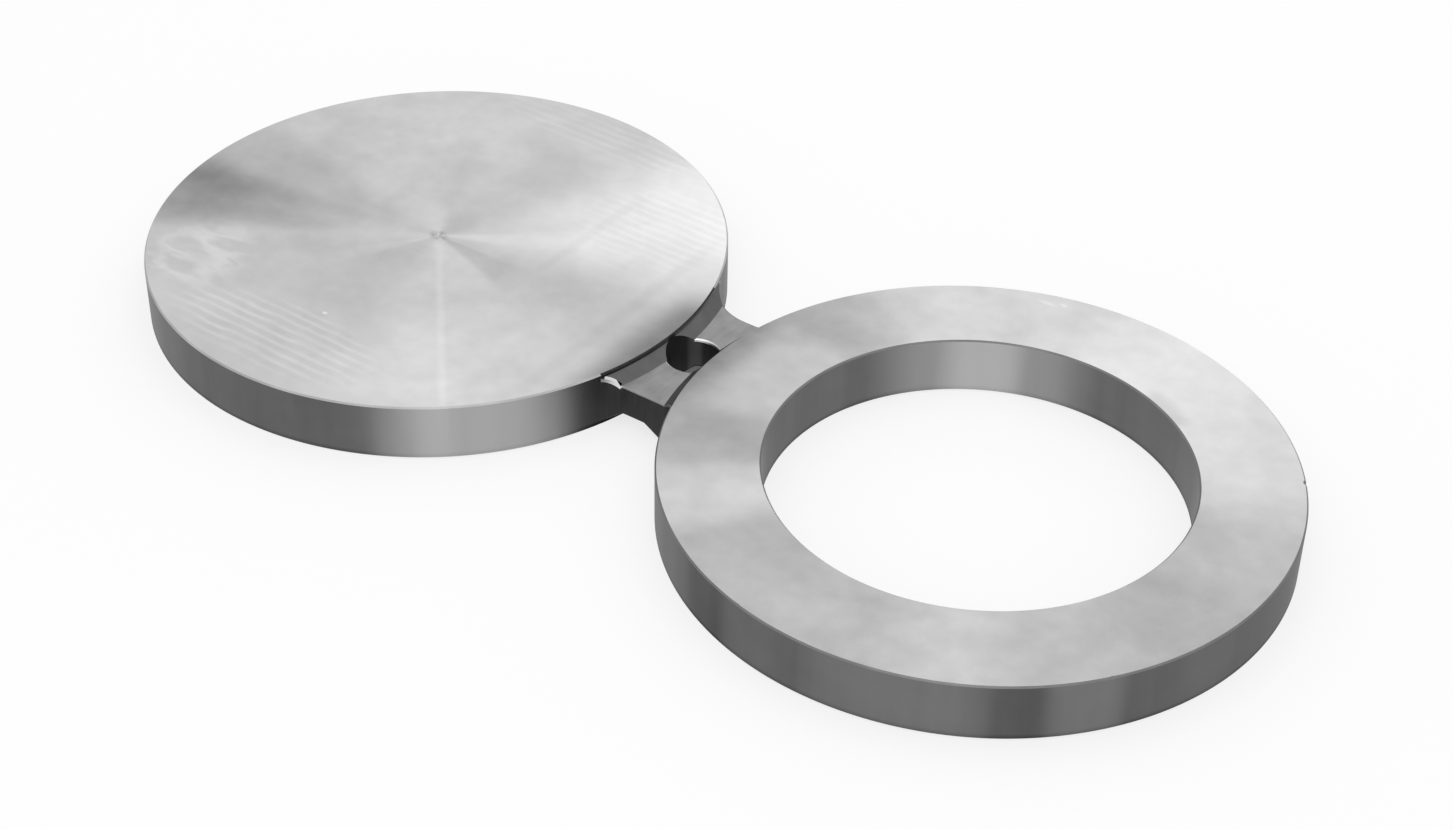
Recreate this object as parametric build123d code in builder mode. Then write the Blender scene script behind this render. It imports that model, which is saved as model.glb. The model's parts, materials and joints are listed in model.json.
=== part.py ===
from build123d import *
from math import isclose
import os

# Spectacle blind, DN 125 / PN 16: a solid blank and an open spacer ring cut
# from one plate, joined by a thinner web with a bolt hole half way along.
# Millimetres, +Z up. The origin is on the level of the lower faces, on the
# web hole's axis; the blank lies towards -X and the ring towards +X.

# Flange, pipe and bolting it goes between
bolt_circle_diameter = 210.0      # also the distance from blank to ring centre
bolt_diameter = 16.0              # M16
rim_bolt_clearance = 0.5          # from either rim to the bolts beside it
web_hole_clearance = 1.5          # on the diameter, round the bolt
pipe_bore_diameter = 129.7        # inside of the pipe, carried on by the ring

# Plate
plate_thickness = 19.3
edge_break = 0.5                  # 45 degree break on the gasket faces' edges

# Web
web_thickness = 10.6
web_front_reach = 26.6            # centre line to the web's -Y side
web_rear_reach = 25.2             # centre line to the web's +Y side
web_fillet = 8.0                  # where the web's sides run into the rims
web_rear_blank_fillet = 20.0      # the same, at the rear beside the blank

# Turned drop from a gasket face to the web
relief_wall_depth = 1.5           # straight rim above the cone
relief_cone_run = 3.8             # spread of the cone onto the web

# On the lower face the ring's drop starts further out
lower_ring_land = 4.6             # flat carried on past the rim
lower_ring_cone_run = 6.9         # spread of the cone beyond it

# Lathe centre mark in both faces of the blank
centre_mark_diameter = 2.4
centre_mark_depth = 0.5

# Sizes and places that follow
rim_radius = (bolt_circle_diameter - bolt_diameter) / 2 - rim_bolt_clearance
web_hole_diameter = bolt_diameter + web_hole_clearance
relief_depth = (plate_thickness - web_thickness) / 2
mid_height = plate_thickness / 2
web_middle_y = (web_rear_reach - web_front_reach) / 2
web_root_width = 2 * (max(web_front_reach, web_rear_reach) + web_fillet)
blank_centre = (-bolt_circle_diameter / 2, 0, 0)
ring_centre = (bolt_circle_diameter / 2, 0, 0)

# Turned shape of one end, without its bore: gasket faces, rim and the cones
# that run out onto the web
lower_profile = [
    (0, centre_mark_depth),
    (centre_mark_diameter / 2, 0),
    (rim_radius - edge_break, 0),
    (rim_radius, edge_break),
    (rim_radius, relief_wall_depth),
    (rim_radius + relief_cone_run, relief_depth),
]
upper_profile = [(r, plate_thickness - z) for r, z in reversed(lower_profile)]

with BuildPart() as turned_end:
    with BuildSketch(Plane.XZ):
        with BuildLine():
            Polyline(*lower_profile, *upper_profile, close=True)
        make_face()
    revolve(axis=Axis.Z)

# The ring's land and cone on the lower face, over the root of the web only
land_radius = rim_radius + lower_ring_land
land_profile = [
    (rim_radius - relief_cone_run, 0),
    (land_radius, 0),
    (land_radius + lower_ring_cone_run, relief_depth),
    (rim_radius - relief_cone_run, relief_depth),
]

with BuildPart() as lower_land:
    with BuildSketch(Plane.XZ):
        with BuildLine():
            Polyline(*land_profile, close=True)
        make_face()
    revolve(axis=Axis.Z)
    with Locations((-rim_radius, 0, 0)):
        Box(rim_radius, web_root_width, plate_thickness, mode=Mode.INTERSECT)

# Everything the turning and the thinning of the web leave standing
with BuildPart() as machined_envelope:
    with Locations(blank_centre, ring_centre):
        add(turned_end.part)
    with Locations(ring_centre):
        add(lower_land.part)
    with Locations((0, 0, mid_height)):
        Box(bolt_circle_diameter, web_root_width, web_thickness)


def corners_at(y):
    """The outline's corners on a web side, from the blank's to the ring's."""
    on_side = vertices().filter_by(lambda corner: isclose(corner.Y, y, abs_tol=1e-3))
    return on_side.sort_by(Axis.X)


with BuildPart() as spectacle_blind:
    # Figure-eight outline of the plate
    with BuildSketch():
        with Locations(blank_centre, ring_centre):
            Circle(rim_radius)
        with Locations((0, web_middle_y)):
            Rectangle(bolt_circle_diameter, web_front_reach + web_rear_reach)
        fillet(corners_at(-web_front_reach), radius=web_fillet)
        fillet(corners_at(web_rear_reach)[0], radius=web_rear_blank_fillet)
        fillet(corners_at(web_rear_reach)[-1], radius=web_fillet)
    extrude(amount=plate_thickness)
    add(machined_envelope.part, mode=Mode.INTERSECT)

    # Bolt hole in the web, which just nicks both rims
    Hole(radius=web_hole_diameter / 2)

    # Bore of the ring, its edge broken in both faces
    for height, turn in ((plate_thickness, 0), (0, 180)):
        with Locations(Location((bolt_circle_diameter / 2, 0, height), (turn, 0, 0))):
            CounterSinkHole(
                radius=pipe_bore_diameter / 2,
                counter_sink_radius=pipe_bore_diameter / 2 + edge_break,
                counter_sink_angle=90,
            )

spectacle_blind.part.label = "spectacle_blind"

os.makedirs("parts", exist_ok=True)
export_step(spectacle_blind.part, "parts/spectacle_blind.step")
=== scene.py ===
import json
from math import acos, cos, pi, radians, sin, sqrt

import bmesh
import bpy
from mathutils import Matrix, Vector


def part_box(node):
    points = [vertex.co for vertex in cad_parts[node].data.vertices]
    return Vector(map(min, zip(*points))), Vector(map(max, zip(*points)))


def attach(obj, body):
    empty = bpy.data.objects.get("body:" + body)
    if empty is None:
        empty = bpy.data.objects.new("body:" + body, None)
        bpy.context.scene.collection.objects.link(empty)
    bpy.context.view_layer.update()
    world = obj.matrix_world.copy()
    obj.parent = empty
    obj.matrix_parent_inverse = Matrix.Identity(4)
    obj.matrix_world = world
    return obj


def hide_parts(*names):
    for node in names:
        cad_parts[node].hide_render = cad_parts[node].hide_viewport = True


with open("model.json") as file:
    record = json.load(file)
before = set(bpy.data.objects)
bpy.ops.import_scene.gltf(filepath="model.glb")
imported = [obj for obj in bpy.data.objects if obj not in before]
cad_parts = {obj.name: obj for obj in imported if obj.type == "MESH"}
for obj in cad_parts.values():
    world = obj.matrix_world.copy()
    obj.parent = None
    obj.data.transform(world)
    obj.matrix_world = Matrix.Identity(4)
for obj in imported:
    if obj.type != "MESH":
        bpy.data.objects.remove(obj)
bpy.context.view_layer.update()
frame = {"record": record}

# ---------------------------------------------------------------- sizes, mm
MM = 0.001
low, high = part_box("spectacle_blind")
mounts = {m["name"]: m for m in frame["record"]["mounts"]}
THICKNESS = (high.z - low.z) / MM
BORE_RADIUS = mounts["ring_bore"]["dims"]["r_mm"]
HOLE_RADIUS = mounts["web_bolt_hole"]["dims"]["r_mm"]
RING_X = mounts["ring_bore"]["pos_m"][0] / MM
BLANK_X = -RING_X
CENTRE_DISTANCE = RING_X - BLANK_X
RIM_RADIUS = BLANK_X - low.x / MM
WEB_THICKNESS = 10.6
FRONT_Y = -26.6         # the web's two sides
REAR_Y = 25.2
WEB_FILLET = 8.0
REAR_BLANK_FILLET = 20.0
EDGE_BREAK = 0.5
WALL_DEPTH = 1.5        # from each face: a short wall, and then a cone
CONE_RUN = 3.8
RELIEF_DEPTH = (THICKNESS - WEB_THICKNESS) / 2
CONE_SLOPE = (RELIEF_DEPTH - WALL_DEPTH) / CONE_RUN
LOWER_RING_FOOT = (108.0, 0.63)     # radius and slope
LAND_STEP = 0.01        # the land beside the ring, just off its lower face
MARK_RADIUS = 1.2
MARK_DEPTH = 0.5
WEB_DEBURR = 0.5
FILED_CORNER = 1.1
HOLE_DEBURR = 0.75
KNOCK_RADIUS = 1.6
KNOCK_STANDOFF = 1.0
KNOCKS = ((32, 0.55), (-37, 0.3), (-103, 0.25))    # degrees round the ring, depth
CONE_OVERLAP = 1.0      # how far the cones reach inside a rim
CONE_HEADROOM = 0.3     # how far inside a rim they stay below its face
ON_EDGE = 0.02          # how near to a surface still counts as on it
AT_CONE_FOOT = 0.01
ON_WALL = 0.3           # how near to a rim or the bore the middle of a face of its wall lies
ON_HOLE = 0.05
CHIP_AREA = 1e-6        # m2, the largest scrap of wall that filing leaves
WEB_REACH = (14, 34)    # half the length and half the width of the web's surroundings
WELD = 0.004            # points closer than this are one point
BURR_WELD = 0.04        # and closer than this where an edge has been broken
SLIVER = 0.002
FLAT_ANGLE = radians(0.3)
SHARP_ANGLE = radians(20)
RIM_STEPS = 256
HOLE_STEPS = 96
FILLET_STEPS = 24

# ------------------------------------------------- tones of steel, some of them painted shade or highlight, and light
FACE_TONE = 0.60
# painted shade: the rims and the bore are toned dark for the dim surroundings that they reflect
BLANK_RIM_TONE = 0.15
RING_RIM_TONE = 0.15
BORE_TONE = 0.175
# painted shade: the web, its cones, its sides and the bolt hole are toned darker for the shade of
# the recess between the discs
WEB_TONE = 0.31
CONE_TONE = 0.14
SIDE_TONE = 0.048
HOLE_TONE = 0.075
# the broken edges are toned light: filed steel, and partly a painted highlight where they catch
# the light
EDGE_TONE = 0.78
RIM_EDGE_TONE = 0.5
TURNED_ROUGHNESS = 0.42
FEED_PITCH = 3.75       # mm between the feed lines on the blank
# the direction of the thin painted highlight line on the blank's upper face
FLASH_HIGHLIGHT_ANGLE = radians(-48.8)
FLOOR_SIZE = 6          # m from its middle to each side
FLOOR_Z = -0.0003       # m, just clear of the plate's lower face
FLOOR_GLOW = 0.75
WELL_GLOW = 0.08        # the floor's glow straight under the bolt hole
WELL_RADIUS = (0.018, 0.020)
WORLD_LIGHT = 0.85
CAMERA_LENS = 65.94696
CAMERA_PLACE = (0.39980234, -0.55547314, 0.50255100)
CAMERA_AZIMUTH = radians(34.85322)
CAMERA_ELEVATION = radians(36.72745)
CAMERA_ROLL = radians(1.09044)


# ------------------------------------------------------------- mesh helpers
def new_object(name, bm):
    """Turns a bmesh into an object, in the units that it was drawn in."""
    mesh = bpy.data.meshes.new(name)
    bm.to_mesh(mesh)
    bm.free()
    obj = bpy.data.objects.new(name, mesh)
    bpy.context.scene.collection.objects.link(obj)
    return obj


def turned(name, profile, centre_x, closed, steps=RIM_STEPS):
    """Spins a profile of (radius, height) points about an upright axis."""
    bm = bmesh.new()
    verts = [bm.verts.new((centre_x + r, 0, z)) for r, z in profile]
    pairs = list(zip(verts, verts[1:])) + ([(verts[-1], verts[0])] if closed else [])
    edges = [bm.edges.new(pair) for pair in pairs]
    bmesh.ops.spin(bm, geom=verts + edges, cent=(centre_x, 0, 0), axis=(0, 0, 1),
                   angle=2 * pi, steps=steps, use_merge=True, use_duplicate=False)
    bmesh.ops.remove_doubles(bm, verts=bm.verts, dist=1e-4)
    bmesh.ops.recalc_face_normals(bm, faces=bm.faces)
    return new_object(name, bm)


def put_in_order(mesh):
    """Rebuilds a mesh with its points and faces in a fixed order, which a boolean doesn't keep."""
    places = [tuple(round(c, 4) for c in v.co) for v in mesh.vertices]
    rank = {place: i for i, place in enumerate(sorted(set(places)))}
    faces = []
    for polygon in mesh.polygons:
        loop = [rank[places[i]] for i in polygon.vertices]
        loop = [here for here, before in zip(loop, loop[-1:] + loop[:-1]) if here != before]
        if len(loop) > 2:
            first = loop.index(min(loop))
            faces.append(loop[first:] + loop[:first])
    mesh.clear_geometry()
    mesh.from_pydata(list(rank), [], sorted(faces))


def boolean(body, tool, operation):
    """Joins, cuts or keeps the common part of two closed pieces, then drops the tool."""
    modifier = body.modifiers.new(operation, "BOOLEAN")
    modifier.operation = operation
    modifier.solver = "EXACT"
    modifier.object = tool
    depsgraph = bpy.context.evaluated_depsgraph_get()
    mesh = bpy.data.meshes.new_from_object(body.evaluated_get(depsgraph))
    body.modifiers.clear()
    put_in_order(mesh)
    body.data = mesh
    bpy.data.objects.remove(tool)


def deburr(body, picks, width):
    """Breaks the edges that picks chooses, as a file leaves them."""
    bm = bmesh.new()
    bm.from_mesh(body.data)
    bmesh.ops.remove_doubles(bm, verts=bm.verts, dist=WELD)
    bmesh.ops.dissolve_degenerate(bm, dist=SLIVER, edges=bm.edges)
    bmesh.ops.bevel(bm, geom=[edge for edge in bm.edges if picks(edge)], offset=width,
                    offset_type="OFFSET", affect="EDGES", segments=2, profile=0.5, material=-1,
                    clamp_overlap=False)
    bmesh.ops.remove_doubles(bm, verts=bm.verts, dist=BURR_WELD)
    bm.to_mesh(body.data)
    bm.free()


def arc(bm, start, centre, angle, steps):
    """Carries a chain on from one vertex round a centre, and returns its last vertex."""
    made = bmesh.ops.spin(bm, geom=[start], cent=(*centre, 0), axis=(0, 0, 1),
                          angle=angle, steps=steps, use_merge=False, use_duplicate=False)
    return next(item for item in made["geom_last"] if isinstance(item, bmesh.types.BMVert))


# ------------------------------------------------------------------- plate
def blank_solid():
    """The solid disc, its corners broken, with the lathe's centre mark in both faces."""
    top, e = THICKNESS, EDGE_BREAK
    return turned("blank", [
        (0, MARK_DEPTH), (MARK_RADIUS, 0), (RIM_RADIUS - e, 0), (RIM_RADIUS, e),
        (RIM_RADIUS, top - e), (RIM_RADIUS - e, top), (MARK_RADIUS, top),
        (0, top - MARK_DEPTH),
    ], BLANK_X, closed=False)


def ring_solid():
    """The open ring, all its corners broken."""
    top, e = THICKNESS, EDGE_BREAK
    return turned("ring", [
        (BORE_RADIUS, e), (BORE_RADIUS + e, 0), (RIM_RADIUS - e, 0), (RIM_RADIUS, e),
        (RIM_RADIUS, top - e), (RIM_RADIUS - e, top), (BORE_RADIUS + e, top),
        (BORE_RADIUS, top - e),
    ], RING_X, closed=True)


def cone_solid(centre_x, upper_foot, lower_foot):
    """A rim with the cones that fall from it onto the web, above and below.

    Each foot is (radius, slope): where its cone meets the web, and how steeply it rises.
    """
    inner = RIM_RADIUS - CONE_OVERLAP
    web_top = THICKNESS - RELIEF_DEPTH
    upper_r, upper_slope = upper_foot
    foot_r, lower_slope = lower_foot
    upper_z = min(web_top + (upper_r - inner) * upper_slope, THICKNESS - CONE_HEADROOM)
    lower_z = max(RELIEF_DEPTH - (foot_r - inner) * lower_slope, LAND_STEP)
    lower_r = foot_r - (RELIEF_DEPTH - lower_z) / lower_slope
    return turned("cone", [
        (0, lower_z), (lower_r, lower_z), (foot_r, RELIEF_DEPTH),
        (foot_r, RELIEF_DEPTH + 1), (upper_r, web_top - 1), (upper_r, web_top),
        (inner, upper_z), (0, upper_z),
    ], centre_x, closed=False)


def side_chain(bm, edge_y, blank_fillet, ring_fillet):
    """One side of the web in plan: a straight edge, faired into both rims."""
    bite, inside = 0.03, 2.0
    side = 1 if edge_y > 0 else -1
    starts, ends = [], []
    for centre_x, fillet, away in ((BLANK_X, blank_fillet, 1), (RING_X, ring_fillet, -1)):
        across = abs(edge_y) + fillet
        reach = sqrt((RIM_RADIUS + fillet) ** 2 - across ** 2)
        centre = (centre_x + away * reach, side * across)
        start = bm.verts.new((centre[0], edge_y, 0))
        turn = -away * side * acos(across / (RIM_RADIUS + fillet))
        end = arc(bm, start, centre, turn, FILLET_STEPS)
        to_centre = Vector((centre_x - end.co.x, -end.co.y, 0)).normalized()
        end.co += to_centre * bite
        deep = bm.verts.new(end.co + to_centre * inside)
        bm.edges.new((end, deep))
        starts.append(start)
        ends.append(deep)
    bm.edges.new(starts)
    return ends


def hole_cutter():
    """The drill, which runs past both faces."""
    bottom, top = -2, THICKNESS + 2
    return turned("hole", [(0, bottom), (HOLE_RADIUS, bottom), (HOLE_RADIUS, top), (0, top)],
                  0, closed=False, steps=HOLE_STEPS)


def web_solid():
    """The web's plan, its sides faired into both rims, with what the turning leaves."""
    bm = bmesh.new()
    front = side_chain(bm, FRONT_Y, WEB_FILLET, WEB_FILLET)
    rear = side_chain(bm, REAR_Y, REAR_BLANK_FILLET, WEB_FILLET)
    for pair in zip(front, rear):
        bm.edges.new(pair)
    outline = bmesh.ops.contextual_create(bm, geom=bm.edges[:])["faces"]
    bmesh.ops.translate(bm, vec=(0, 0, -1), verts=bm.verts)
    raised = bmesh.ops.extrude_face_region(bm, geom=outline)
    tops = [item for item in raised["geom"] if isinstance(item, bmesh.types.BMVert)]
    bmesh.ops.translate(bm, vec=(0, 0, THICKNESS + 2), verts=tops)
    bmesh.ops.recalc_face_normals(bm, faces=bm.faces)
    web = new_object("web", bm)

    slab = bmesh.new()
    bmesh.ops.create_cube(slab, size=1)
    bmesh.ops.scale(slab, vec=(CENTRE_DISTANCE, 4 * REAR_Y, WEB_THICKNESS), verts=slab.verts)
    bmesh.ops.translate(slab, vec=(0, 0, THICKNESS / 2), verts=slab.verts)
    envelope = new_object("slab", slab)
    foot = (RIM_RADIUS + CONE_RUN, CONE_SLOPE)
    boolean(envelope, cone_solid(BLANK_X, foot, foot), "UNION")
    boolean(envelope, cone_solid(RING_X, foot, LOWER_RING_FOOT), "UNION")
    boolean(web, envelope, "INTERSECT")
    boolean(web, hole_cutter(), "DIFFERENCE")
    return web


def knock(centre_x, angle, depth):
    """The tool for a small dent in a rim's upper corner."""
    bm = bmesh.new()
    bmesh.ops.create_icosphere(bm, subdivisions=2, radius=KNOCK_RADIUS)
    away = RIM_RADIUS + KNOCK_STANDOFF - depth
    place = (centre_x + away * cos(angle), away * sin(angle), THICKNESS + KNOCK_STANDOFF - depth)
    bmesh.ops.translate(bm, vec=place, verts=bm.verts)
    return new_object("knock", bm)


def from_rim(place):
    """How far a place lies outside the nearer rim."""
    return Vector((RING_X - abs(place.x), place.y)).length - RIM_RADIUS


def clear_of_rims(edge, gap):
    """Whether an edge runs between the rims, at least so far from both."""
    return all(from_rim(vert.co) > gap for vert in edge.verts)


def is_corner(edge):
    """Whether an edge parts an upright wall from a face that is nearer to level."""
    level = [abs(face.normal.z) for face in edge.link_faces]
    return len(level) == 2 and min(level) < 0.1 and max(level) > 0.5


def is_hole_edge(edge):
    """The bolt hole's corner on the web's flat, above or below."""
    at_hole = all(abs(vert.co.xy.length - HOLE_RADIUS) < ON_EDGE for vert in edge.verts)
    return at_hole and is_corner(edge) and clear_of_rims(edge, CONE_RUN - AT_CONE_FOOT)


def is_web_side_edge(edge):
    """A corner along one side of the web."""
    at_side = all(vert.co.xy.length > 2 * HOLE_RADIUS for vert in edge.verts)
    return at_side and is_corner(edge) and clear_of_rims(edge, ON_EDGE)


def is_filed_corner(edge):
    """The front corner that climbs to the blank, filed back further than the rest."""
    climbs = all(v.co.x < 0 and v.co.y < 0 and v.co.z > THICKNESS / 2 for v in edge.verts)
    on_cone = not clear_of_rims(edge, CONE_RUN - AT_CONE_FOOT)
    return climbs and on_cone and is_web_side_edge(edge)


def is_overrun(vert):
    """Whether filing the hole has pushed a point of the web over the foot of a cone."""
    from_web = (abs(vert.co.z - RELIEF_DEPTH), abs(THICKNESS - RELIEF_DEPTH - vert.co.z))
    filed = abs(vert.co.xy.length - HOLE_RADIUS - HOLE_DEBURR) < 0.1
    return filed and min(from_web) < ON_EDGE and from_rim(vert.co) < CONE_RUN - 0.1


def nearest_neighbour(vert):
    others = [edge.other_vert(vert) for edge in vert.link_edges]
    return min(others, key=lambda other: (other.co - vert.co).length)


plate = web_solid()
knocked_ring = ring_solid()
for degrees_round, depth in KNOCKS:
    boolean(knocked_ring, knock(RING_X, radians(degrees_round), depth), "DIFFERENCE")
for end in (blank_solid(), knocked_ring):
    boolean(end, hole_cutter(), "DIFFERENCE")
    boolean(plate, end, "UNION")
plate.name = "figure_eight_plate"
deburr(plate, is_filed_corner, FILED_CORNER)
deburr(plate, is_web_side_edge, WEB_DEBURR)
deburr(plate, is_hole_edge, HOLE_DEBURR)

bm = bmesh.new()
bm.from_mesh(plate.data)
bmesh.ops.remove_doubles(bm, verts=bm.verts, dist=WELD)
bmesh.ops.dissolve_degenerate(bm, dist=SLIVER, edges=bm.edges)
bmesh.ops.dissolve_limit(bm, angle_limit=FLAT_ANGLE, verts=bm.verts, edges=bm.edges)
loose = [edge for edge in bm.edges if not edge.link_faces]
bmesh.ops.delete(bm, geom=loose, context="EDGES")
overruns = {vert: nearest_neighbour(vert) for vert in bm.verts if is_overrun(vert)}
bmesh.ops.weld_verts(bm, targetmap=overruns)
bmesh.ops.scale(bm, vec=(MM, MM, MM), verts=bm.verts)
for face in bm.faces:
    face.smooth = True
for edge in bm.edges:
    edge.smooth = not (edge.is_manifold and edge.calc_face_angle(0) > SHARP_ANGLE)
bm.to_mesh(plate.data)
bm.free()
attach(plate, "root")
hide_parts("spectacle_blind")


# ---------------------------------------------------------------- finishes
class Value:
    """A shader value that can be written in Python arithmetic."""

    def __init__(self, recipe, socket):
        self.recipe = recipe
        self.socket = socket

    def math(self, operation, first, second=0.0):
        return self.recipe.node("ShaderNodeMath", {"operation": operation}, {0: first, 1: second})

    def __add__(self, other):
        return self.math("ADD", self, other)

    def __radd__(self, other):
        return self.math("ADD", other, self)

    def __sub__(self, other):
        return self.math("SUBTRACT", self, other)

    def __rsub__(self, other):
        return self.math("SUBTRACT", other, self)

    def __mul__(self, other):
        return self.math("MULTIPLY", self, other)

    def __rmul__(self, other):
        return self.math("MULTIPLY", other, self)

    def __truediv__(self, other):
        return self.math("DIVIDE", self, other)

    def sine(self):
        return self.math("SINE", self)

    def size(self):
        """The value without its sign."""
        return self.math("ABSOLUTE", self)


class Recipe:
    """A material and its shader, whose other nodes all come from one method."""

    def __init__(self, name, **shader_values):
        self.material = bpy.data.materials.new(name)
        self.material.use_nodes = True
        self.tree = self.material.node_tree
        self.shader = self.tree.nodes["Principled BSDF"]
        self.give(**shader_values)

    def give(self, **shader_values):
        """Gives the shader's sockets a value or a link, by their names with underscores."""
        for name, value in shader_values.items():
            self.feed(self.shader.inputs[name.replace("_", " ")], value)

    def node(self, kind, settings, sockets, output=0):
        """Adds a node, sets it, fills its sockets and hands back one of its outputs."""
        made = self.tree.nodes.new(kind)
        for name, setting in settings.items():
            setattr(made, name, setting)
        for name, value in sockets.items():
            self.feed(made.inputs[name], value)
        return Value(self, made.outputs[output])

    def feed(self, socket, value):
        if isinstance(value, Value):
            self.tree.links.new(value.socket, socket)
        else:
            socket.default_value = value


class Finish(Recipe):
    """One metal finish, in the plate's own coordinates in millimetres."""

    def __init__(self, name, roughness, anisotropy=0.0):
        super().__init__(name, Metallic=1.0, Roughness=roughness, Anisotropic=anisotropy)
        self.place = self.node("ShaderNodeTexCoord", {}, {}, "Object")
        self.mm = self.node("ShaderNodeVectorMath", {"operation": "SCALE"},
                            {0: self.place, "Scale": 1 / MM})
        self.x, self.y, self.z = self.parts(self.mm)

    def parts(self, vector):
        """A vector's x, y and z."""
        split = self.node("ShaderNodeSeparateXYZ", {}, {0: vector}).socket.node
        return [Value(self, output) for output in split.outputs]

    def vector(self, x, y, z):
        return self.node("ShaderNodeCombineXYZ", {}, {0: x, 1: y, 2: z})

    def about(self, centre_x):
        """Position in plan from a disc's axis: x, y and distance."""
        x = self.x - centre_x
        flat = self.vector(x, self.y, 0.0)
        distance = self.node("ShaderNodeVectorMath", {"operation": "LENGTH"}, {0: flat}, "Value")
        return x, self.y, distance

    def ramp(self, value, start, stop, start_value=0.0, stop_value=1.0):
        """A soft step from one value to another."""
        return self.node("ShaderNodeMapRange", {"interpolation_type": "SMOOTHSTEP"},
                         {"Value": value, "From Min": start, "From Max": stop,
                          "To Min": start_value, "To Max": stop_value})

    def noise(self, size, detail=3.0, stretch=(1, 1, 1), offset=(0, 0, 0), distortion=0.0):
        """Cloudy variation about zero, with patches of a given size in millimetres."""
        placed = self.node("ShaderNodeMapping", {},
                           {"Vector": self.mm, "Location": offset,
                            "Scale": [1 / (size * along) for along in stretch]})
        cloud = self.node("ShaderNodeTexNoise", {},
                          {"Vector": placed, "Scale": 1.0, "Detail": detail,
                           "Distortion": distortion})
        return (cloud - 0.5) * 2

    def sector(self, plan, middle, inner, outer):
        """A wedge seen from a disc's axis: full within inner degrees, gone past outer."""
        x, y, distance = plan
        along = (x * cos(radians(middle)) + y * sin(radians(middle))) / distance
        return self.ramp(along, cos(radians(outer)), cos(radians(inner)))

    def patch(self, plan, centre, radii, edge=0.5):
        """An oval patch that fades out over the outer part of its width."""
        x, y, distance = plan
        oval = self.vector((x - centre[0]) / radii[0], (y - centre[1]) / radii[1], 0.0)
        reach = self.node("ShaderNodeVectorMath", {"operation": "LENGTH"}, {0: oval}, "Value")
        return self.ramp(reach, 1 - edge, 1, 1, 0)

    def colour(self, tone):
        """Sets the base colour from how light the steel is."""
        mixed = self.node("ShaderNodeMix", {"data_type": "RGBA"},
                          {0: tone, 6: (0, 0, 0, 1), 7: (1, 1, 1, 1)}, 2)
        self.give(Base_Color=mixed)

    def relief(self, height, depth):
        """Raises the surface by height times depth in millimetres."""
        bump = self.node("ShaderNodeBump", {},
                         {"Height": height, "Distance": depth * MM, "Strength": 1.0})
        self.give(Normal=bump)

    def grain_from(self, centre_x):
        """Turns the highlight to run away from a disc's axis, across its turning marks."""
        away = self.node("ShaderNodeVectorMath", {"operation": "SUBTRACT"},
                         {0: self.place, 1: (centre_x * MM, 0, 0)})
        self.give(Tangent=away)

    def upright_grain(self):
        """Turns the highlight of a wall to run up it, across its turning marks."""
        self.give(Tangent=self.vector(0.0, 0.0, 1.0))

    def upper_side(self):
        """One on the plate's upper half, nothing on the lower."""
        return self.ramp(self.z, 9, 10)


def turning_marks(finish, distance, pitch):
    """Fine rings left by the tool, uneven from one turn to the next."""
    turns = finish.vector(distance / pitch, 0.0, 0.0)
    return finish.node("ShaderNodeTexNoise", {},
                       {"Vector": turns, "Scale": 1.0, "Detail": 4.0, "Roughness": 0.7}) - 0.5


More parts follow.
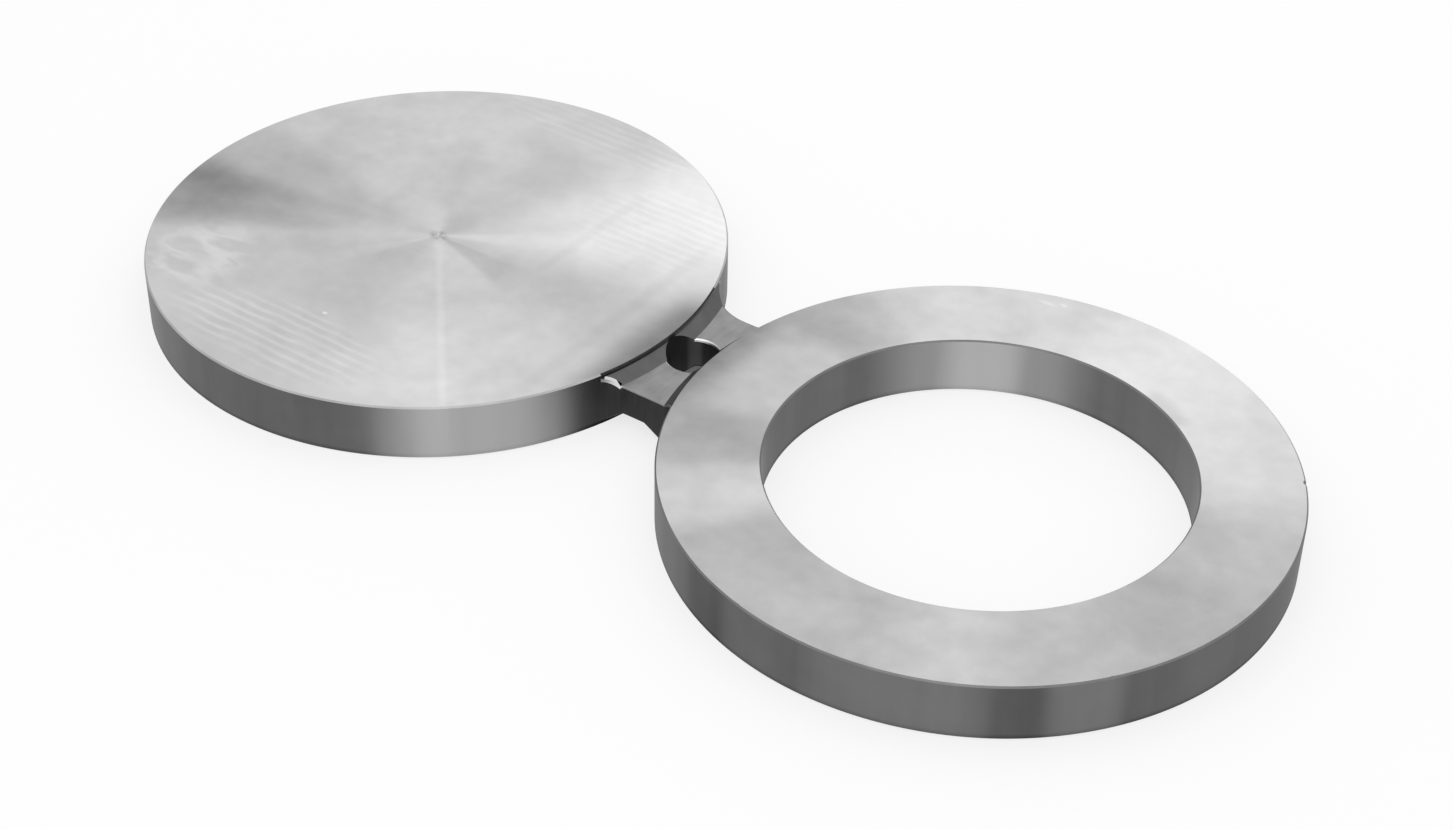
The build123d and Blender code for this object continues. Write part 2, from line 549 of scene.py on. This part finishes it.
def blank_face():
    """The blank's faces: turned, with feed lines; above, stains, smears and painted highlights and
    shade.
    """
    finish = Finish("turned_blank_face", TURNED_ROUGHNESS, 0.75)
    finish.grain_from(BLANK_X)
    plan = x, y, distance = finish.about(BLANK_X)
    marks = turning_marks(finish, distance, 0.7)
    bands = turning_marks(finish, distance, 9.0)
    outward = finish.ramp(distance, 8, 75)
    clouds = finish.noise(34, 4, offset=(3, 1, 0), distortion=0.4)
    blotches = finish.noise(15, 3, offset=(8, 3, 6), distortion=0.3)
    mottle = finish.noise(5, 3, offset=(0, 5, 2))
    wander = finish.noise(16, 2, offset=(7, 0, 0))
    waves = (y * (2 * pi / FEED_PITCH) + wander * 2.5).sine()
    depth = finish.ramp(wander, -0.5, 0.5, 0.4, 1.2)
    feed_lines = (finish.ramp(waves, -0.4, 1.0) * 2 - 0.7) * depth
    lined = (finish.patch(plan, (-5, -74), (48, 20), 0.5)
             + finish.patch(plan, (58, 48), (36, 34), 0.6) * 0.45
             + finish.patch(plan, (5, 84), (52, 14), 0.6) * 0.6)
    streaky = finish.noise(11, 2, stretch=(2.2, 1, 1), offset=(5, 2, 1), distortion=0.5)
    smears = finish.ramp(streaky.size(), 0.0, 0.24, 1, 0)
    # painted highlight and shade: bright and dark wedges from the axis, where light falls on the
    # turning marks
    painted_light_wedges = (finish.sector(plan, 39, 8, 38) * finish.ramp(distance, 4, 58) * 0.24
             + finish.sector(plan, 82, 16, 40) * finish.ramp(distance, 10, 40) * 0.16
             + finish.sector(plan, 30, 3, 12) * finish.patch(plan, (0, 0), (60, 60), 0.8) * 0.09
             + finish.sector(plan, -122, 1, 9) * finish.patch(plan, (0, 0), (55, 55), 0.8) * 0.08
             + finish.sector(plan, 270, 16, 52) * finish.ramp(distance, 12, 75) * 0.13
             - finish.sector(plan, 199, 3, 16) * finish.ramp(distance, 15, 95) * 0.47
             - finish.sector(plan, 182, 4, 18) * outward * 0.13
             - finish.sector(plan, -8, 5, 13) * finish.patch(plan, (0, 0), (42, 42), 0.3) * 0.12)
    # a thin painted highlight line from the axis, where a lamp would catch the turning marks
    from_flash_highlight = (x * sin(FLASH_HIGHLIGHT_ANGLE) - y * cos(FLASH_HIGHLIGHT_ANGLE)).size()
    painted_flash_highlight = finish.ramp(from_flash_highlight, 0.2, 2.0, 1, 0) * finish.ramp(x, 2, 12) * 0.07
    # painted shade on the face beside the web
    painted_shade_by_web = finish.ramp(x, 80, 95) * finish.ramp((y + 9).size(), 18, 42, 1, 0) * 0.56
    outer_line = finish.ramp((x - 77).size(), 0.5, 4, 1, 0)
    inner_line = finish.ramp((x - 40).size(), 0.5, 3, 1, 0)
    speck = finish.patch(plan, (0.6, -56.3), (1.1, 0.9), 0.4)
    round_mark = finish.patch(plan, (0, 0), (4.5, 3.5), 0.6)
    stains = (finish.patch(plan, (0, 38), (42, 38), 0.25) * -0.05
              + finish.patch(plan, (18, 68), (11, 9), 0.15) * 0.05
              + outer_line * finish.ramp(y.size(), 40, 62, 1, 0) * -0.06
              + inner_line * finish.patch(plan, (40, 30), (10, 32), 0.4) * -0.07
              + smears * finish.patch(plan, (-56, -56), (22, 26), 0.6) * 0.18
              + speck * 0.35
              - round_mark * (finish.noise(1.6, 2) * 0.5 + 0.16))
    tone = (1.02 + finish.upper_side() * (painted_light_wedges + painted_flash_highlight + stains - painted_shade_by_web)
            + lined * feed_lines * 0.075 + clouds * 0.17 + blotches * 0.10 + mottle * 0.07
            + marks * 0.05 + bands * 0.05)
    finish.colour(tone * FACE_TONE)
    finish.give(Roughness=TURNED_ROUGHNESS + clouds * 0.06 + marks * 0.10 + mottle * 0.04)
    finish.relief(marks + lined * feed_lines * 0.15 + mottle * 0.2, 0.012)
    return finish


def ring_face():
    """The ring's faces: turned; above, a few stains and painted highlights and shade."""
    finish = Finish("turned_ring_face", TURNED_ROUGHNESS, 0.75)
    finish.grain_from(RING_X)
    plan = x, y, distance = finish.about(RING_X)
    marks = turning_marks(finish, distance, 0.7)
    clouds = finish.noise(30, 4, offset=(11, 2, 5), distortion=0.5)
    blotches = finish.noise(13, 3, offset=(5, 9, 2), distortion=0.3)
    mottle = finish.noise(6, 4, offset=(4, 4, 8))
    # painted highlight and shade: bright and dark wedges from the axis, where light falls on the
    # turning marks
    painted_light_wedges = (finish.sector(plan, 56, 16, 44) * 0.41
             + finish.sector(plan, 176, 8, 20) * finish.ramp(distance, 76, 92, 1, 0) * 0.14
             + finish.sector(plan, 226, 3, 12) * 0.17
             - finish.sector(plan, 151, 4, 13) * 0.12
             - finish.sector(plan, 292, 8, 26) * 0.09
             - finish.sector(plan, 205, 3, 12) * 0.14
             - finish.sector(plan, 258, 12, 34) * 0.13
             - finish.sector(plan, 330, 12, 34) * 0.15)
    # painted shade on the face beside the web
    painted_shade_by_web = finish.ramp(x, -82, -97) * finish.ramp(y.size(), 20, 44, 1, 0) * 0.40
    by_bore = finish.ramp(distance, 67, 72, 1, 0)
    stains = (finish.sector(plan, 62, 4, 10) * by_bore * -0.22
              + finish.patch(plan, (-27, 87), (4.5, 1.6), 0.8) * 0.12
              + finish.patch(plan, (-22, 89), (2.0, 1.2), 0.8) * 0.14
              + finish.patch(plan, (-78, 20), (9, 22), 0.7) * -0.05)
    tone = (0.90 + finish.upper_side() * (painted_light_wedges + stains - painted_shade_by_web)
            + clouds * 0.16 + blotches * 0.12 + mottle * 0.10 + marks * 0.05)
    finish.colour(tone * FACE_TONE)
    finish.give(Roughness=TURNED_ROUGHNESS + 0.01 + clouds * 0.06 + marks * 0.10 + mottle * 0.05)
    finish.relief(marks + mottle * 0.3, 0.012)
    return finish


def rim(name, centre_x, tone, painted_light_bands):
    """A turned wall with upright streaky grain, bands of painted highlight and shade, and a darker
    foot.

    Each band is (middle, half width, change): a band of another tone, in degrees round
    the disc's axis.
    """
    finish = Finish(name, 0.5, 0.7)
    finish.upright_grain()
    plan = finish.about(centre_x)
    turns = finish.vector(0.0, 0.0, finish.z / 0.5)
    marks = finish.node("ShaderNodeTexNoise", {},
                        {"Vector": turns, "Scale": 1.0, "Detail": 3.0}) - 0.5
    streak = finish.noise(9, 3, stretch=(1, 1, 9), offset=(1, 3, 0))
    clouds = finish.noise(22, 3, stretch=(1, 1, 0.6), offset=(9, 2, 1))
    specks = finish.ramp(finish.noise(1.3, 2, offset=(5, 0, 0)), 0.42, 0.6)
    foot = finish.ramp(finish.z, 0.6, 2.4, 1, 0)
    shade = 1.0 + streak * 0.20 + clouds * 0.22 + marks * 0.10 - specks * 0.25 - foot * 0.35
    # bands of painted highlight and shade round the wall
    for middle, half, change in painted_light_bands:
        shade = shade + finish.sector(plan, middle, half * 0.15, half) * change
    finish.colour(shade * tone)
    finish.give(Roughness=0.5 + clouds * 0.08 + marks * 0.08)
    finish.relief(marks + specks * -0.6, 0.02)
    return finish


def web_face():
    """The relief between the rims: turned, then left coarse and blotchy, in a darker tone of
    painted shade.
    """
    finish = Finish("web_face", 0.5)
    grain = finish.noise(1.6, 4, stretch=(1, 6, 1), offset=(2, 0, 0))
    clouds = finish.noise(7, 3, offset=(0, 7, 1))
    marks = turning_marks(finish, finish.about(BLANK_X)[2], 0.9)
    finish.colour((1.0 + grain * 0.16 + clouds * 0.30 + marks * 0.20) * WEB_TONE)
    finish.give(Roughness=0.52 + clouds * 0.1)
    finish.relief(grain + marks * 1.5, 0.03)
    return finish


def cone_face():
    """The cone from each face down to the web, with painted shade beside the ring."""
    finish = Finish("cone_face", 0.5)
    clouds = finish.noise(9, 3, offset=(4, 2, 2))
    marks = turning_marks(finish, finish.about(BLANK_X)[2], 0.6)
    # painted shade on the cone beside the ring
    painted_shade_by_ring = finish.ramp(finish.x, 3, 5, 1.0, 0.6)
    finish.colour((1.0 + clouds * 0.36 + marks * 0.35) * painted_shade_by_ring * CONE_TONE)
    finish.relief(marks, 0.03)
    return finish


def cut_side(name, tone, lines, painted_glint=0.0):
    """A sawn or drilled wall, darkened by painted shade, with fine lines along the cut.

    A drilled one has a painted highlight down its rear side, this much lighter.
    """
    finish = Finish(name, 0.55)
    cut = finish.noise(2.2, 3, stretch=lines, offset=(3, 1, 0))
    clouds = finish.noise(10, 3, offset=(1, 8, 3))
    shade = 1.0 + cut * 0.25 + clouds * 0.30
    # a painted highlight down the hole's rear side
    if painted_glint:
        shade = shade + finish.sector(finish.about(0.0), 122, 2, 20) * painted_glint
    finish.colour(shade * tone)
    finish.give(Roughness=0.55 + clouds * 0.1)
    finish.relief(cut, 0.04)
    return finish


def broken_edge(name, tone, roughness):
    """A filed corner, light as filed steel and partly as a painted highlight, brighter here and
    there and fading towards the ring.
    """
    finish = Finish(name, roughness)
    clouds = finish.noise(12, 3, offset=(6, 6, 1))
    # the painted highlight fades towards the ring
    highlight_fade_to_ring = finish.ramp(finish.x, -3, 6, 1.0, 0.45)
    finish.colour((1.0 + clouds * 0.3) * highlight_fade_to_ring * tone)
    return finish


# bands of painted highlight and shade: middle, half width and change, in degrees round each axis
BLANK_RIM_PAINTED_LIGHT = ((-43, 22, 2.0), (-51, 4, 0.25), (-15, 13, -0.62))
RING_RIM_PAINTED_LIGHT = ((-52, 6, -0.25), (-41, 8, 0.4), (-73, 18, 0.35), (-112, 8, -0.35),
                    (8, 25, -0.25))
BORE_PAINTED_LIGHT = ((120, 14, 0.9), (120, 36, 1.1), (195, 14, -0.15))
FINISHES = {
    "blank_face": blank_face(),
    "ring_face": ring_face(),
    "blank_rim": rim("blank_rim", BLANK_X, BLANK_RIM_TONE, BLANK_RIM_PAINTED_LIGHT),
    "ring_rim": rim("ring_rim", RING_X, RING_RIM_TONE, RING_RIM_PAINTED_LIGHT),
    "bore": rim("bore_wall", RING_X, BORE_TONE, BORE_PAINTED_LIGHT),
    "web": web_face(),
    "cone": cone_face(),
    "side": cut_side("web_side", SIDE_TONE, (1, 1, 7)),
    "hole": cut_side("hole_wall", HOLE_TONE, (1, 1, 5), 1.6),
    "edge": broken_edge("filed_corner", EDGE_TONE, 0.35),
    "rim_edge": broken_edge("rim_edge", RIM_EDGE_TONE, 0.5),
}


def finish_at(face):
    """Which finish a face of the plate takes, from where it lies and which way it looks."""
    centre = face.calc_center_median() / MM
    to_blank = Vector((centre.x - BLANK_X, centre.y)).length
    to_ring = Vector((centre.x - RING_X, centre.y)).length
    from_axis = min(to_blank, to_ring)
    disc = "blank" if centre.x < 0 else "ring"
    level = abs(face.normal.z)
    is_level, is_upright = level > 0.99, level < 0.1
    at_face = min(centre.z, THICKNESS - centre.z) < LAND_STEP
    if (is_level and at_face) or to_blank < MARK_RADIUS:
        return disc + "_face"
    if is_upright:
        if abs(centre.xy.length - HOLE_RADIUS) < ON_HOLE:
            return "hole"
        if abs(from_axis - RIM_RADIUS) < ON_WALL:
            return disc + "_rim"
        if abs(to_ring - BORE_RADIUS) < ON_WALL:
            return "bore"
        chip = face.calc_area() < CHIP_AREA and centre.z > THICKNESS / 2 and centre.y < 0
        return "edge" if chip else "side"
    if from_axis < RIM_RADIUS + 0.05:
        beside_web = abs(centre.x) < WEB_REACH[0] and abs(centre.y) < WEB_REACH[1]
        return "side" if beside_web else "rim_edge"
    if is_level:
        return "web"
    if centre.z < THICKNESS / 2:
        return "side"
    if centre.xy.length > 2 * HOLE_RADIUS:
        if centre.y > 0:
            return "cone"
        if from_axis > RIM_RADIUS + CONE_RUN + 0.2:
            return "web"
    cone_level = 1 / sqrt(1 + CONE_SLOPE ** 2)
    on_cone = abs(level - cone_level) < 0.003 and from_axis < RIM_RADIUS + CONE_RUN + AT_CONE_FOOT
    return "cone" if on_cone else "edge"


names = list(FINISHES)
plate.data.materials.clear()
for name in names:
    plate.data.materials.append(FINISHES[name].material)
bm = bmesh.new()
bm.from_mesh(plate.data)
for face in bm.faces:
    face.material_index = names.index(finish_at(face))
bm.to_mesh(plate.data)
bm.free()


# ------------------------------------------------------------ floor, lights
def floor_paper():
    """White paper that the camera and the steel see bright, but that keeps shadows.

    It is dark straight under the bolt hole, and clear from below.
    """
    paper = Recipe("floor_white", Base_Color=(0.9, 0.9, 0.9, 1), Roughness=0.9,
                   Specular_IOR_Level=0.0)
    node = paper.node

    def ray(kind):
        return node("ShaderNodeLightPath", {}, {}, kind)

    seen = node("ShaderNodeMath", {"operation": "ADD", "use_clamp": True},
                {0: ray("Is Camera Ray"), 1: ray("Is Glossy Ray") + ray("Is Transmission Ray")})
    place = node("ShaderNodeTexCoord", {}, {}, "Object")
    from_hole = node("ShaderNodeVectorMath", {"operation": "LENGTH"}, {0: place}, "Value")
    glow = node("ShaderNodeMapRange", {},
                {"Value": from_hole, "From Min": WELL_RADIUS[0], "From Max": WELL_RADIUS[1],
                 "To Min": WELL_GLOW, "To Max": FLOOR_GLOW})
    matt = Value(paper, paper.shader.outputs[0])
    lit = node("ShaderNodeMixShader", {},
               {0: seen * glow, 1: matt, 2: node("ShaderNodeEmission", {}, {})})
    below = node("ShaderNodeNewGeometry", {}, {}, "Backfacing")
    sheet = node("ShaderNodeMixShader", {},
                 {0: below, 1: lit, 2: node("ShaderNodeBsdfTransparent", {}, {})})
    paper.feed(paper.tree.nodes["Material Output"].inputs["Surface"], sheet)
    return paper.material


bm = bmesh.new()
bmesh.ops.create_grid(bm, x_segments=1, y_segments=1, size=FLOOR_SIZE)
bmesh.ops.translate(bm, vec=(0, 0, FLOOR_Z), verts=bm.verts)
floor = new_object("floor", bm)
floor.data.materials.append(floor_paper())

world = bpy.data.worlds.new("studio")
world.use_nodes = True
sky = world.node_tree.nodes["Background"]
sky.inputs["Color"].default_value = (1, 1, 1, 1)
sky.inputs["Strength"].default_value = WORLD_LIGHT
bpy.context.scene.world = world


def soft_lamp(name, place, aim, size, power):
    """A soft box of a given width and height that looks at a point of the plate."""
    data = bpy.data.lights.new(name, "AREA")
    data.shape = "RECTANGLE"
    data.size, data.size_y = size
    data.energy = power
    lamp = bpy.data.objects.new(name, data)
    lamp.location = place
    lamp.rotation_euler = (Vector(aim) - Vector(place)).to_track_quat("-Z", "Y").to_euler()
    bpy.context.scene.collection.objects.link(lamp)


soft_lamp("back_lamp", (-0.34, 0.85, 0.49), (-0.08, 0.0, 0.02), (0.25, 0.15), 0.4)
soft_lamp("front_lamp", (0.45, -0.75, 0.75), (0.0, 0.0, 0.0), (0.4, 0.4), 0.8)
soft_lamp("overhead_lamp", (0.0, 0.1, 1.4), (0.0, 0.0, 0.0), (1.2, 1.2), 4.0)

# ------------------------------------------------------------------ camera
back = Vector((sin(CAMERA_AZIMUTH) * cos(CAMERA_ELEVATION),
               -cos(CAMERA_AZIMUTH) * cos(CAMERA_ELEVATION), sin(CAMERA_ELEVATION)))
level_right = Vector((cos(CAMERA_AZIMUTH), sin(CAMERA_AZIMUTH), 0))
level_up = back.cross(level_right)
right = cos(CAMERA_ROLL) * level_right + sin(CAMERA_ROLL) * level_up
up = cos(CAMERA_ROLL) * level_up - sin(CAMERA_ROLL) * level_right
camera = bpy.data.objects.new("camera", bpy.data.cameras.new("camera"))
camera.data.sensor_width = 36
camera.data.lens = CAMERA_LENS
facing = Matrix((right, up, back)).transposed().to_4x4()
camera.matrix_world = Matrix.Translation(CAMERA_PLACE) @ facing
bpy.context.scene.collection.objects.link(camera)
bpy.context.scene.camera = camera
bpy.context.scene.view_settings.view_transform = "Standard"
